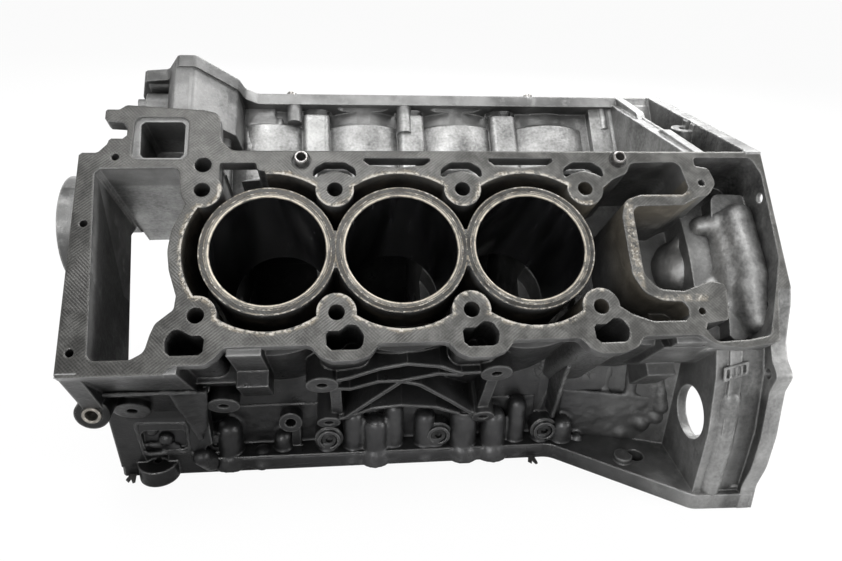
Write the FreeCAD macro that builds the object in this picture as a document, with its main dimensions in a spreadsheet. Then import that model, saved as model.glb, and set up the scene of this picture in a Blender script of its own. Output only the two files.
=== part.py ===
import FreeCAD, Part
import math
import os
import Sketcher

# Open deck engine block, ninety degree vee, three bores a bank and a blanked rear bay.
# Lengths are millimetres. X runs to the rear, the bank in view is on the minus Y side, Z is up.
# Work is done about the crank axis, then every piece is moved into the block's own frame.

os.makedirs("parts", exist_ok=True)
doc = FreeCAD.newDocument("engine_block")
sheet = doc.addObject("Spreadsheet::Sheet", "Sizes")

SIZES = [
    ("pitch", 98.0, "distance between bores"),
    ("borer", 42.0, "bore radius"),
    ("linerwall", 2.8, "wall of a liner"),
    ("linergap", 0.15, "radial gap round a liner"),
    ("barrelr", 49.9, "outer radius of a barrel"),
    ("decktall", 228.7, "crank axis to deck"),
    ("deckthick", 12.0, "deck plate"),
    ("jacketr", 61.6, "inner radius of the water jacket wall"),
    ("domer", 67.5, "outer radius of the water jacket wall"),
    ("jacketdeep", 105.0, "depth of the open water jacket"),
    ("bankdeep", 128.0, "deck to the underside of a bank"),
    ("draindeep", 75.0, "depth of the oil drains"),
    ("reardeep", 86.0, "depth of the box behind the last bay"),
    ("domedrop", 25.0, "deck to the tops of the domes below it"),
    ("stagger", 20.0, "the far bank sits this much further forward"),
    ("boltrow", 48.4, "head bolt rows, each side of the bores"),
    ("boltholer", 6.0, "head bolt hole radius"),
    ("boltbossr", 14.4, "head bolt boss radius"),
    ("boltdeep", 90.0, "head bolt hole depth"),
    ("frontx", -139.0, "front face"),
    ("rearx", 398.0, "rear face"),
    ("railz", -60.0, "underside of the sump rail"),
    ("railthick", 15.0, "sump rail"),
    ("railwide", 143.0, "crank line to the rail's edge"),
    ("skirtout", 122.0, "outer face of the skirt"),
    ("skirtin", 111.0, "inner face of the skirt"),
    ("capwide", 94.7, "half width of a main cap"),
    ("capdeep", 50.0, "depth of a main cap"),
    ("capthick", 21.0, "length of a main cap along the crank"),
    ("tunnelr", 34.0, "main bearing tunnel radius"),
    ("sealr", 48.0, "rear seal bore radius"),
    ("crossz", -34.0, "height of the cross bolts"),
    ("housingr", 178.0, "inside of the bell housing"),
    ("housingx", 345.0, "front wall of the bell housing"),
    ("starterr", 23.0, "starter hole radius"),
    ("startery", 181.0, "starter hole, off the crank line"),
    ("starterz", 15.0, "starter hole height"),
    ("dowelr", 5.2, "deck dowel outer radius"),
    ("dowelholer", 3.6, "deck dowel inner radius"),
    ("doweltall", 15.0, "deck dowel length"),
    ("dowelproud", 6.0, "deck dowel above the deck"),
    ("mainboltr", 5.5, "main bolt shank radius"),
    ("crossboltr", 4.5, "cross bolt shank radius"),
    ("tabthick", 1.2, "sump gasket"),
    ("padtilt", 30.0, "tilt of the mounting pads"),
]
for row, (name, value, note) in enumerate(SIZES, start=1):
    sheet.set("A%d" % row, name)
    sheet.set("B%d" % row, str(value))
    sheet.set("C%d" % row, note)
    sheet.setAlias("B%d" % row, name)
doc.recompute()


def v(name):
    return float(sheet.get(name))


def e(text):
    """Turn size names in a formula into sheet references."""
    out = []
    word = ""
    for ch in text + " ":
        if ch.isalpha():
            word += ch
            continue
        if word:
            out.append("Sizes." + word if word in NAMES else word)
            word = ""
        out.append(ch)
    return "".join(out).strip()


NAMES = set(name for name, value, note in SIZES)
P = v("pitch")
H = v("decktall")
V3 = FreeCAD.Vector
ALONG_Z = FreeCAD.Rotation()
ALONG_X = FreeCAD.Rotation(V3(1, 1, 1), 120)
TO_X = FreeCAD.Rotation(V3(0, 1, 0), 90)
TO_Y = FreeCAD.Rotation(V3(1, 0, 0), -90)
TO_MINUS_Y = FreeCAD.Rotation(V3(1, 0, 0), 90)


def box(name, x0, x1, y0, y1, z0, z1):
    """A block between three pairs of formulas."""
    o = doc.addObject("Part::Box", name)
    low = (x0, y0, z0)
    for prop, a, b in (("Length", x0, x1), ("Width", y0, y1), ("Height", z0, z1)):
        o.setExpression(prop, e("(%s) - (%s)" % (b, a)))
    for prop, a in zip(("x", "y", "z"), low):
        o.setExpression("Placement.Base." + prop, e(str(a)))
    return o


SEAM = FreeCAD.Rotation(V3(0, 0, 1), 17)


def rod(name, x, y, z, r, tall, turn=ALONG_Z):
    """A cylinder from a base point; its axis is turned from Z. Its seam is turned off the planes of symmetry."""
    o = doc.addObject("Part::Cylinder", name)
    o.Placement = FreeCAD.Placement(V3(0, 0, 0), turn.multiply(SEAM))
    o.setExpression("Radius", e(str(r)))
    o.setExpression("Height", e(str(tall)))
    for prop, a in zip(("x", "y", "z"), (x, y, z)):
        o.setExpression("Placement.Base." + prop, e(str(a)))
    return o


SMALLARC = 5.5


def outline(points, round_r=0.0):
    """Lines and corner arcs round a list of points; a third number is that corner's own radius."""
    pts = [V3(p[0], p[1], 0) for p in points]
    radii = [p[2] if len(p) > 2 else round_r for p in points]
    n = len(pts)
    ends = []
    for i in range(n):
        here = pts[i]
        a = pts[i - 1] - here
        b = pts[(i + 1) % n] - here
        la = a.Length
        lb = b.Length
        half = a.getAngle(b) / 2.0
        r = radii[i]
        cut = r / math.tan(half) if r > 0 else 0.0
        if r < SMALLARC:
            cut *= 0.7
        room = 0.46 * min(la, lb)
        if cut > room:
            cut = room
            r = cut * math.tan(half)
        if r < 0.3 or half > 1.5:
            ends.append((here, here, None))
            continue
        a.normalize()
        b.normalize()
        p1 = here + a * cut
        p2 = here + b * cut
        mid = a + b
        mid.normalize()
        centre = here + mid * (r / math.sin(half))
        ends.append((p1, p2, centre - mid * r))
    geo = []
    for i in range(n):
        p1, p2, mid = ends[i]
        if mid is not None:
            if radii[i] < SMALLARC:
                geo.append(Part.LineSegment(p1, p2))
            else:
                geo.append(Part.Arc(p1, mid, p2))
        q = ends[(i + 1) % n][0]
        if (q - p2).Length > 1e-4:
            geo.append(Part.LineSegment(p2, q))
    return geo


def draw(sketch, points, round_r):
    sketch.addGeometry(outline(points, round_r), False)


def cone(name, x, y, z, r_low, r_top, tall):
    """An upright cone, for rounded tops."""
    o = doc.addObject("Part::Cone", name)
    o.Placement = FreeCAD.Placement(V3(0, 0, 0), SEAM)
    o.setExpression("Radius1", e(r_low))
    o.setExpression("Radius2", e(r_top))
    o.setExpression("Height", e(tall))
    for prop, a in zip(("x", "y", "z"), (x, y, z)):
        o.setExpression("Placement.Base." + prop, e(str(a)))
    return o


def slab(name, points, z0, z1, round_r=0.0, turn=ALONG_Z):
    """An outline in a plane square to an axis, pushed from one formula to another."""
    sk = doc.addObject("Sketcher::SketchObject", name + "_outline")
    draw(sk, points, round_r)
    axis = turn.multVec(V3(0, 0, 1))
    low = float(sk.evalExpression(e(z0)))
    sk.Placement = FreeCAD.Placement(axis * low, turn)
    o = doc.addObject("Part::Extrusion", name)
    o.Base = sk
    o.DirMode = "Normal"
    o.Solid = True
    o.setExpression("LengthFwd", e("(%s) - (%s)" % (z1, z0)))
    return o


def plane_slab(name, points, place, thick, round_r=0.0):
    """An outline in any plane, pushed along that plane's normal."""
    sk = doc.addObject("Sketcher::SketchObject", name + "_outline")
    draw(sk, points, round_r)
    sk.Placement = place
    o = doc.addObject("Part::Extrusion", name)
    o.Base = sk
    o.DirMode = "Normal"
    o.Solid = True
    o.LengthFwd = thick
    return o


def pad_body(name, points, z0, thick, round_r=0.0, turn=ALONG_Z):
    """A PartDesign pad, for the plates that other features stand on."""
    body = doc.addObject("PartDesign::Body", name)
    sk = body.newObject("Sketcher::SketchObject", name + "_outline")
    draw(sk, points, round_r)
    low = float(sheet.evalExpression(e(z0)))
    sk.Placement = FreeCAD.Placement(turn.multVec(V3(0, 0, 1)) * low, turn)
    pad = body.newObject("PartDesign::Pad", name + "_pad")
    pad.Profile = sk
    pad.setExpression("Length", e(thick))
    return body


def join(name, items):
    o = doc.addObject("Part::MultiFuse", name)
    o.Shapes = items
    return o


def cut(name, base, tool):
    o = doc.addObject("Part::Cut", name)
    o.Base = base
    o.Tool = tool
    return o


def mirror_y(points):
    return [(p[0], -p[1]) + tuple(p[2:]) for p in reversed(points)]


def num(value):
    return "(%.4f)" % value


# Deck outlines, as (along the crank, across the deck, corner radius).
# Across is minus towards the valley and plus towards the outside.

def drain_bulge(x):
    return [(x - 19, 72, 6), (x - 12, 80, 5), (x - 4, 84, 8), (x + 12, 84, 8),
            (x + 24, 80, 6), (x + 30, 72, 6)]


def lower_edge(bolts, last):
    pts = [(last, 79, 6), (374, 80, 8), (351, 83, 8), (330, 80, 8), (318, 72, 6)]
    for x in reversed(bolts[1:]):
        pts += list(reversed(drain_bulge(x)))
    x = bolts[0]
    pts += [(x + 20, 72, 6), (x + 14, 79, 6), (x + 7, 84, 8), (x - 15, 84, 6), (x - 20, 90, 3)]
    return pts


def deck_outline(bolts, far):
    if far:
        top = [(v("frontx"), -79, 3), (v("frontx"), -92, 4), (-131, -118, 5), (-108, -121, 5),
               (-95, -143, 4), (-79, -143, 6), (-45, -105, 8), (-41, -90, 10), (-29, -81, 8)]
    else:
        top = [(v("frontx"), -79, 3), (-126, -79, 4), (-119, -87, 5), (-119, -91, 3),
               (-106, -91, 4), (-106, -105, 5), (-123, -106, 3), (-123, -116, 2), (-113, -116, 3),
               (-108, -120, 4), (-50, -116, 8), (-38, -113, 9), (-37, -90, 12), (-28, -81, 8)]
    right = [(v("rearx"), -81, 9), (v("rearx"), 24, 10), (387, 40, 8)]
    return top + right + lower_edge(bolts, 380) + [(v("frontx"), 90, 3)]


def chain_well(shift):
    s = -shift
    return [(-127, -66, 5), (-66 + s, -67, 6), (-64 + s, -44, 5), (-60 + s, -37, 4), (-69 + s, -16, 20),
            (-71 + s, 0, 30), (-69 + s, 15, 20), (-63 + s, 34, 4), (-64 + s, 44, 4), (-76 + s, 54, 8),
            (-79 + s, 62, 8), (-82 + s, 74, 8), (-91 + s, 79, 8), (-119, 79, 6)]


PASSAGE = [(240, -48, 2), (256, -46, 3), (268, -56, 6), (281, -62, 5), (285, -71, 7), (326, -72, 8),
           (331, -48, 5), (325, -42.5, 4), (289, -42.5, 8), (276, -38, 8), (272, -24, 9), (273, 24, 14),
           (280, 38, 14), (293, 45, 12), (309, 46, 4), (313, 51, 5), (312, 61, 5), (284, 61, 14),
           (268, 55, 10), (257, 47, 4), (240, 48, 2)]
CAVITY = [(281, -33, 7), (324, -34, 4), (338, -41, 3), (346, -42, 8), (354, -52, 9), (350, -66, 4),
          (339, -68, 2), (339, -76, 3), (389, -76, 8), (395, -60, 10), (394, 12, 14), (384, 44, 12),
          (374, 74, 6), (356, 77, 8), (330, 78, 8), (321, 64, 4), (343, 61, 3), (346, 33, 6),
          (334, 30, 8), (311, 38, 6), (292, 36, 12), (282, 24, 12)]

LOBE = [(366, -57, 8), (396, -56, 5), (396, 6, 12), (386, 44, 5), (372, 70, 5), (358, 70, 5), (362, 44, 6),
        (372, 26, 8), (384, 14, 8), (384, -24, 8), (372, -28, 5), (362, -34, 6)]
STEP = [(330, 30, 6), (362, 30, 5), (392, 10, 5), (384, 62, 5), (330, 70, 5)]


def turn_bank(obj, side):
    """Lean an upright bank over to its own side of the vee."""
    obj.Placement = FreeCAD.Placement(V3(0, 0, 0), FreeCAD.Rotation(V3(1, 0, 0), -45.0 * side))


def bank(tag, side, far):
    """One bank, built upright on its own bore axis. side turns across into the local Y."""
    shift = v("stagger") if far else 0.0
    bays = ["pitch * %d%s" % (k, " - stagger" if far else "") for k in range(3)]
    bay_x = [P * k - shift for k in range(3)]
    bolts = [P * (k - 0.5) - shift for k in range(4)]
    n = tag + "_"

    def flip(points):
        if side > 0:
            return points
        return mirror_y(points)

    def yy(a, b):
        lo = min(side * a, side * b)
        hi = max(side * a, side * b)
        return num(lo), num(hi)

    solid = []
    solid.append(pad_body(n + "deck", flip(deck_outline(bolts, far)), "decktall - deckthick",
                          "deckthick"))
    # the wavy outside of the water jacket, round each bay
    x_last = bay_x[2]
    for k in range(4):
        x = num(bay_x[0] + P * k)
        solid.append(rod(n + "dome%d" % k, x, "0", "decktall - bankdeep", "domer",
                         "bankdeep - deckthick / 2"))
        solid.append(rod(n + "swell%d" % k, x, num(side * -2.0), "decktall - bankdeep", "domer + 6",
                         "bankdeep - domedrop - 7"))
        solid.append(cone(n + "swelltop%d" % k, x, num(side * -2.0), "decktall - domedrop - 7",
                          "domer + 6", "domer - 3", "7"))
    a, b = yy(-50, 50)
    solid.append(box(n + "core", num(bolts[0] - 14), "rearx - 52", a, b, "decktall - bankdeep",
                     "decktall - deckthick / 2"))
    # flat topped columns of the head bolts on the valley side
    for i, x in enumerate(bolts):
        pts = [(x - 14, -40), (x - 14, -76, 6), (x + 14, -76, 6), (x + 14, -40)]
        solid.append(slab(n + "column%d" % i, flip(pts), "decktall - bankdeep", "decktall - domedrop + 4"))
    for i, x in enumerate(bolts):
        for s in (-1, 1):
            solid.append(rod(n + "boss%d%s" % (i, "v" if s < 0 else "o"), num(x),
                             "%d * boltrow" % (s * side), "decktall - bankdeep", "15.4",
                             "bankdeep - deckthick / 2"))
    # oil drain columns beside the outer bolts
    for i, x in enumerate(bolts):
        x0 = x - 13 if i else x - 25
        x1 = x + 24 if i else x + 14
        pts = [(x0, 48), (x0, 79, 8), (x1, 79, 8), (x1, 48)]
        solid.append(slab(n + "drain%d" % i, flip(pts), "decktall - bankdeep", "decktall - 6"))
    # columns that hang from the deck edge along the valley
    for i, (x, r, tall) in enumerate(((7, 7.5, 24), (120, 7.5, 36), (335, 5.0, 30))):
        solid.append(rod(n + "vcol%d" % i, num(x), num(side * -73.0), "decktall - 6 - %d" % tall, num(r),
                         num(tall)))
    # walls of the chain case and the port box ahead of the first bore
    a, b = yy(-77, -64)
    solid.append(box(n + "casetop", "frontx", num(bay_x[0] - 40), a, b, "60", "decktall - 6"))
    a, b = yy(79, 90)
    solid.append(box(n + "caseside", "frontx", num(bolts[0] - 20), a, b, "decktall - 80",
                     "decktall - 6"))
    a, b = yy(66, 84)
    solid.append(box(n + "shelf", num(bolts[0] - 21), num(bolts[0] + 19), a, b, "decktall - 80",
                     "decktall - 68"))
    solid.append(slab(n + "frontwall", flip([(v("frontx"), -77), (-127, -77), (-118, 90), (v("frontx"), 90)]),
                      "decktall - 95", "decktall - 6"))
    if far:
        pts = [(-98, -141, 3), (-80, -141, 6), (-46, -103, 6), (-43, -66, 2), (-108, -66, 2), (-108, -119, 4)]
        solid.append(slab(n + "tower", flip(pts), "decktall - 62", "decktall - 6"))
        solid.append(rod(n + "towerrib", "-58", num(side * -93.0), "decktall - 70", "5.5", "64"))
    else:
        pts = [(-108, -117, 4), (-47, -113, 6), (-41, -66, 2), (-108, -66, 2)]
        solid.append(slab(n + "portbox", flip(pts), "decktall - 58", "decktall - 6"))
    # rear bay: walls of the blanked bay and the deep box behind it
    start = 320 if far else 262
    pts = [(start, -66), (start, -75), (v("rearx"), -80), (v("rearx"), 24), (380, 79), (318, 72)]
    solid.append(slab(n + "rearbox", flip(pts), "decktall - reardeep", "decktall - 6"))
    a, b = yy(-65, 68)
    solid.append(box(n + "rearlink", num(x_last + 60), "(330)", a, b, "decktall - 58", "decktall - 6"))
    a, b = yy(-64, 64)
    solid.append(box(n + "rearroot", num(bay_x[2] + 60), "housingx + 4", a, b, "decktall - bankdeep",
                     "decktall - 50"))
    # lugs under the outer deck edge
    for t, x, low in (("front", -28.2, 58), ("rear", 302.0, 66)):
        a, b = yy(58, 89.8)
        solid.append(box(n + "lug" + t, num(x), num(x + 24), a, b, "decktall - %d" % (low + 40),
                         "decktall - %d" % low))
        a, b = yy(58, 77)
        solid.append(box(n + "lugback" + t, num(x), num(x + 24), a, b, "decktall - %d" % (low + 40),
                         "decktall - 6"))
    a, b = yy(60, 74)
    solid.append(box(n + "sideweb", "(166)", "(173)", a, b, "decktall - 110", "decktall - 6"))
    whole = join(n + "solid", solid)

    # what the casting leaves open
    void = []
    for k, x in enumerate(bays):
        void.append(rod(n + "jacket%d" % k, x, "0", "decktall - jacketdeep", "jacketr",
                        "jacketdeep + 5"))
    narrow = -60.5 if far else -80.0
    pts = [(p[0] - shift if p[0] < 270 else p[0], max(p[1], narrow)) + tuple(p[2:]) for p in PASSAGE]
    void.append(slab(n + "passage", flip(pts), "decktall - jacketdeep + 20", "decktall + 5"))
    inlet = [(bay_x[0] - 37, -50), (bay_x[0] - 37, -71, 2), (bay_x[0] - 10, -71, 2),
             (bay_x[0] - 9, -65, 2), (bay_x[0] - 3, -64, 2), (bay_x[0] - 1, -50)]
    void.append(slab(n + "inlet", flip(inlet), "decktall - 60", "decktall + 5"))
    jacket = join(n + "jacket", void)
    keep = []
    for k, x in enumerate(bays):
        keep.append(rod(n + "barrel%d" % k, x, "0", "decktall - bankdeep", "barrelr",
                        "bankdeep + 8"))
    for k in range(2):
        x = num(bay_x[k] + P / 2)
        keep.append(box(n + "waist%d" % k, x + " - 12", x + " + 12", "-14.5", "14.5",
                        "decktall - bankdeep", "decktall + 8"))
    for i, x in enumerate(bolts):
        for s in (-1, 1):
            keep.append(rod(n + "keep%d%s" % (i, "v" if s < 0 else "o"), num(x),
                            "%d * boltrow" % (s * side), "decktall - bankdeep", "boltbossr",
                            "bankdeep + 8"))
    jacket = cut(n + "water", jacket, join(n + "barrels", keep))
    tools = [jacket]
    for k, x in enumerate(bays):
        tools.append(rod(n + "hole%d" % k, x, "0", "decktall - bankdeep - 2",
                         "borer + linerwall + linergap", "bankdeep + 12"))
    for i, x in enumerate(bolts):
        for s in (-1, 1):
            tools.append(rod(n + "bolt%d%s" % (i, "v" if s < 0 else "o"), num(x),
                             "%d * boltrow" % (s * side), "decktall - boltdeep", "boltholer",
                             "boltdeep + 5"))
    tools.append(rod(n + "oilhole", num(bolts[0]), num(side * -69.0), "decktall - boltdeep", "6.3",
                     "boltdeep + 5"))
    # curved and straight slots along the valley edge
    for i, x in enumerate(bolts[1:]):
        pts = [(x - 16.5, -57, 2), (x - 16, -66, 6), (x - 8, -71.5, 6), (x + 8, -71.5, 6),
               (x + 16, -66, 6), (x + 16.5, -57, 2), (x + 10, -61, 4), (x, -64, 8), (x - 10, -61, 4)]
        tools.append(slab(n + "arch%d" % i, flip(pts), "decktall - 34", "decktall + 5"))
        if i < 2:
            pts = [(x + 19, -75, 2), (x + 78, -75, 2), (x + 69, -68.5, 3), (x + 49, -66.5, 20), (x + 27, -68.5, 3)]
            tools.append(slab(n + "strip%d" % i, flip(pts), "decktall - 30", "decktall + 5"))
    # oil drains outside the outer bolts
    for i, x in enumerate(bolts):
        x0 = x - 8 if i else x - 21
        x1 = x + 19.5 if i else x + 7
        mid = x - 2 if i else x - 8
        if i:
            pts = [(x0, 62, 3), (x0 + 1, 76, 5), (x1 - 2, 76, 6), (x1, 66, 6), (x1 - 5, 58, 5),
                   (mid + 10, 57.5, 3), (mid + 4, 62, 4)]
        else:
            pts = [(x0 + 1, 66, 6), (x0 + 2, 77, 5), (x1 - 1, 77, 4), (x1, 63, 4), (mid + 6, 63, 4),
                   (mid - 3, 58, 4), (x0 + 5, 59, 5)]
        tools.append(slab(n + "drainhole%d" % i, flip(pts), "decktall - draindeep", "decktall + 5"))
    # chain case, rear box, port and small holes
    tools.append(slab(n + "well", flip(chain_well(shift)), "30", "decktall + 5"))
    pit = slab(n + "pit", flip(CAVITY), "decktall - reardeep + 9", "decktall + 5")
    lobe = slab(n + "lobe", flip(LOBE), "decktall - reardeep", "decktall - 30")
    step = slab(n + "step", flip(STEP), "decktall - reardeep", "decktall - 46")
    crown = rod(n + "crown", "housingx - 2", "0", "0", "housingr + 10", "60", TO_X)
    cavity = cut(n + "cavity", pit, join(n + "lobes", [lobe, step, crown]))
    turn_bank(cavity, side)
    if not far:
        pts = [(-97, -107, 4), (-64, -107, 4), (-64, -76, 4), (-96, -76, 4)]
        tools.append(slab(n + "port", flip(pts), "decktall - 50", "decktall + 5"))
        pts = [(-101, -110, 6), (-61, -110, 6), (-61, -73.5, 5), (-102, -73.5, 6)]
        tools.append(slab(n + "portlip", flip(pts), "decktall - 2.5", "decktall + 5"))
    for i, (x, u) in enumerate(((-113, -75.5), (-130.5, -22), (-130.5, 73), (342, -53), (323, 54))):
        tools.append(rod(n + "tap%d" % i, num(x), num(side * u), "decktall - 28", "2.9", "33"))
    for i, (x, u) in enumerate(((bolts[0] + 73, -73.0), (bolts[3] + 30, -73.5))):
        tools.append(rod(n + "dowelseat%d" % i, num(x), num(side * u),
                         "decktall - doweltall + dowelproud", "dowelr + 0.1", "doweltall + 5"))
        tools.append(rod(n + "dowelring%d" % i, num(x), num(side * u), "decktall - 2", "dowelr + 2", "7"))
    cast = cut(n + "bank", whole, join(n + "tools", tools))
    turn_bank(cast, side)
    return cast, cavity


near, near_cavity = bank("near", -1, False)
far, far_cavity = bank("far", 1, True)

# torn tabs of the sump gasket, held in shallow seats under the rail
TABS = [("sump_gasket_tab_front", -131.0, -144.0, -134.0), ("sump_gasket_tab_mid", 224.0, -144.0, -134.0)]

# The crankcase, in the engine's own directions.
case = []
rail = [(v("frontx"), 143, 3), (240, 143, 20), (v("housingx"), 217, 14), (v("rearx"), 219, 4)]
rail_pts = rail + [(x, -y, r) for x, y, r in reversed(rail)]
case.append(pad_body("rail", rail_pts, "railz", "railthick"))
for s, t in ((-1, "near"), (1, "far")):
    lo, hi = ("-skirtout", "-skirtin") if s < 0 else ("skirtin", "skirtout")
    case.append(box(t + "_skirt", "(-64)", "housingx + 4", lo, hi, "railz + 2", "(36)"))
    pts = [(s * 225, 98), (s * 170, 43), (s * 152, 14, 8), (s * 143, -50), (s * 131, -50), (s * 139, 14, 8),
           (s * 160, 48), (s * 214, 103)]
    case.append(slab(t + "_caseside_low", pts, "frontx", "-60", turn=ALONG_X))
# main bearing walls
MAINS = [-P / 2 - v("stagger") / 2 + P * k for k in range(5)]
for k in range(5):
    x = num(MAINS[0] + P * k)
    top = [(-116, 0), (-116, 38), (-52, 112), (-20, 118), (20, 118), (52, 112), (116, 38), (116, 0)]
    case.append(slab("web%d" % k, top, x + " - 9", x + " + 9", turn=ALONG_X))
    for s in (-1, 1):
        lo, hi = ("-skirtin - 2", "-capwide - 0.3") if s < 0 else ("capwide + 0.3", "skirtin + 2")
        case.append(box("webfoot%d%s" % (k, "n" if s < 0 else "f"), x + " - 9", x + " + 9", lo, hi,
                        "-capdeep", "2"))
    if k < 4:
        case.append(rod("webring%d" % k, x + " - capthick / 2", "0", "0", "tunnelr + 13", "capthick", TO_X))
case.append(slab("valleyfloor", [(-60, 108), (60, 108), (30, 120), (-30, 120)], "(-64)", "housingx + 4",
                 turn=ALONG_X))
case.append(slab("frontfloor", [(-14, 110), (14, 110), (26, 122), (-26, 122)], "frontx", "-60",
                 turn=ALONG_X))
case.append(box("rearseal", "rearx - 75", "rearx - 55", "-skirtin - 2", "skirtin + 2", "railz + 2", "(100)"))
# bell housing
BELL = [(-104, 219.5), (-188, 135.5, 4), (-193, 124, 6), (-200, 95, 20), (-209, 82, 5), (-220, 75, 6), (-216, 58, 8),
        (-222, 18, 50), (-222, -14, 50), (-217, -37, 20), (-219, -60)]
bell_full = BELL + [(-p[0],) + tuple(p[1:]) for p in reversed(BELL)]
case.append(slab("bellflange", bell_full, "rearx - 13", "rearx", turn=ALONG_X))
skin = [(-98, 212), (-183, 127, 6), (-192, 95, 20), (-204, 66, 30), (-213, 18, 50), (-213, -14, 50),
        (-212, -60)]
skin_full = skin + [(-p[0],) + tuple(p[1:]) for p in reversed(skin)]
case.append(slab("bellskin", skin_full, "housingx", "rearx - 6", turn=ALONG_X))
band = [(-99, 213), (-186, 130, 6), (-195, 95, 20), (-207, 66, 30), (-216, 18, 50), (-216, -14, 50),
        (-215, -60)]
band_full = band + [(-p[0],) + tuple(p[1:]) for p in reversed(band)]
case.append(slab("bellband", band_full, "housingx + 10", "rearx - 33", turn=ALONG_X))
# ramps that carry the skirt out to the bell housing
for s, t in ((-1, "near"), (1, "far")):
    pts = [(230, s * 113), (230, s * 122), (262, s * 128, 20), (300, s * 131, 20), (322, s * 142, 14),
           (346, s * 150), (346, s * 113)]
    if s > 0:
        pts = list(reversed(pts))
    case.append(slab(t + "_ramp", pts, "railz + 2", "(52)"))
    pts = [(s * 205, 95), (s * 170, 58), (s * 120, 24), (s * 110, 36), (s * 150, 110)]
    case.append(slab(t + "_shoulder", pts, "(296)", "housingx + 6", turn=ALONG_X))
# columns of the sump bolts, the cross bolt bosses and small bosses
COLUMNS = [(-108, 142, 17.0, -43), (-53, 131, 9.0, -18), (-3, 130, 6.0, -30), (61, 129, 7.5, -8), (80, 134, 9.0, -14),
           (97, 130, 6.5, -2), (127, 130, 7.0, -14), (160, 133, 10.5, -6), (187, 134, 9.0, -12),
           (209, 130, 6.5, -4), (252, 134, 7.5, -26), (-20, 134, 6.5, -44), (300, 168, 8.0, -38)]
for s, t in ((-1, "near"), (1, "far")):
    for i, (x, y, r, top) in enumerate(COLUMNS):
        if s > 0 and r < 7.2:
            continue
        case.append(rod("%s_col%d" % (t, i), num(x), num(s * y), "railz", num(r), num(top - 2) + " - railz"))
    for k in range(4):
        x = num(MAINS[k])
        turn = TO_MINUS_Y if s < 0 else TO_Y
        case.append(rod("%s_crossboss%d" % (t, k), x, num(s * 108.0), "crossz", "12.5", "28", turn))
        case.append(rod("%s_crossring%d" % (t, k), x, num(s * 108.0), "crossz", "10.2", "31.5", turn))
        case.append(box("%s_crossfoot%d" % (t, k), x + " - 4", x + " + 5", num(min(s * 118, s * 133)),
                        num(max(s * 118, s * 133)), "railz + 4", "crossz"))
    turn = TO_MINUS_Y if s < 0 else TO_Y
    case.append(rod(t + "_tapboss", "6", num(s * 110.0), "-16", "10", "25", turn))
    case.append(box(t + "_tapstem", "6", "14", num(min(s * 116, s * 130)), num(max(s * 116, s * 130)), "-52", "-16"))
# front lug, accessory bosses and mounting pads with crossing ribs
TILT = math.radians(v("padtilt"))


def tilted(s, x, w, z):
    """A placement whose Z axis points out of a tilted pad, X along the crank."""
    n = V3(0, s * math.cos(TILT), -math.sin(TILT))
    xx = V3(1, 0, 0)
    yy = n.cross(xx)
    m = FreeCAD.Matrix(xx.x, yy.x, n.x, x, xx.y, yy.y, n.y, s * w, xx.z, yy.z, n.z, z, 0, 0, 0, 1)
    return FreeCAD.Placement(m)


def stub(name, s, x, w, z, r, deep):
    """A round boss whose outer face is centred on the point, reaching inwards by deep."""
    pl = tilted(s, x, w, z)
    o = doc.addObject("Part::Cylinder", name)
    o.Radius = r
    o.Height = deep
    o.Placement = FreeCAD.Placement(pl.Base - pl.Rotation.multVec(V3(0, 0, deep)), pl.Rotation)
    return o


def strip(points, wide):
    """An outline of constant width along a polyline."""
    left = []
    right = []
    for i, p in enumerate(points):
        a = points[max(i - 1, 0)]
        b = points[min(i + 1, len(points) - 1)]
        dx = b[0] - a[0]
        dy = b[1] - a[1]
        l = math.hypot(dx, dy)
        left.append((p[0] - dy / l * wide / 2, p[1] + dx / l * wide / 2))
        right.append((p[0] + dy / l * wide / 2, p[1] - dx / l * wide / 2))
    return left + list(reversed(right))


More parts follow.
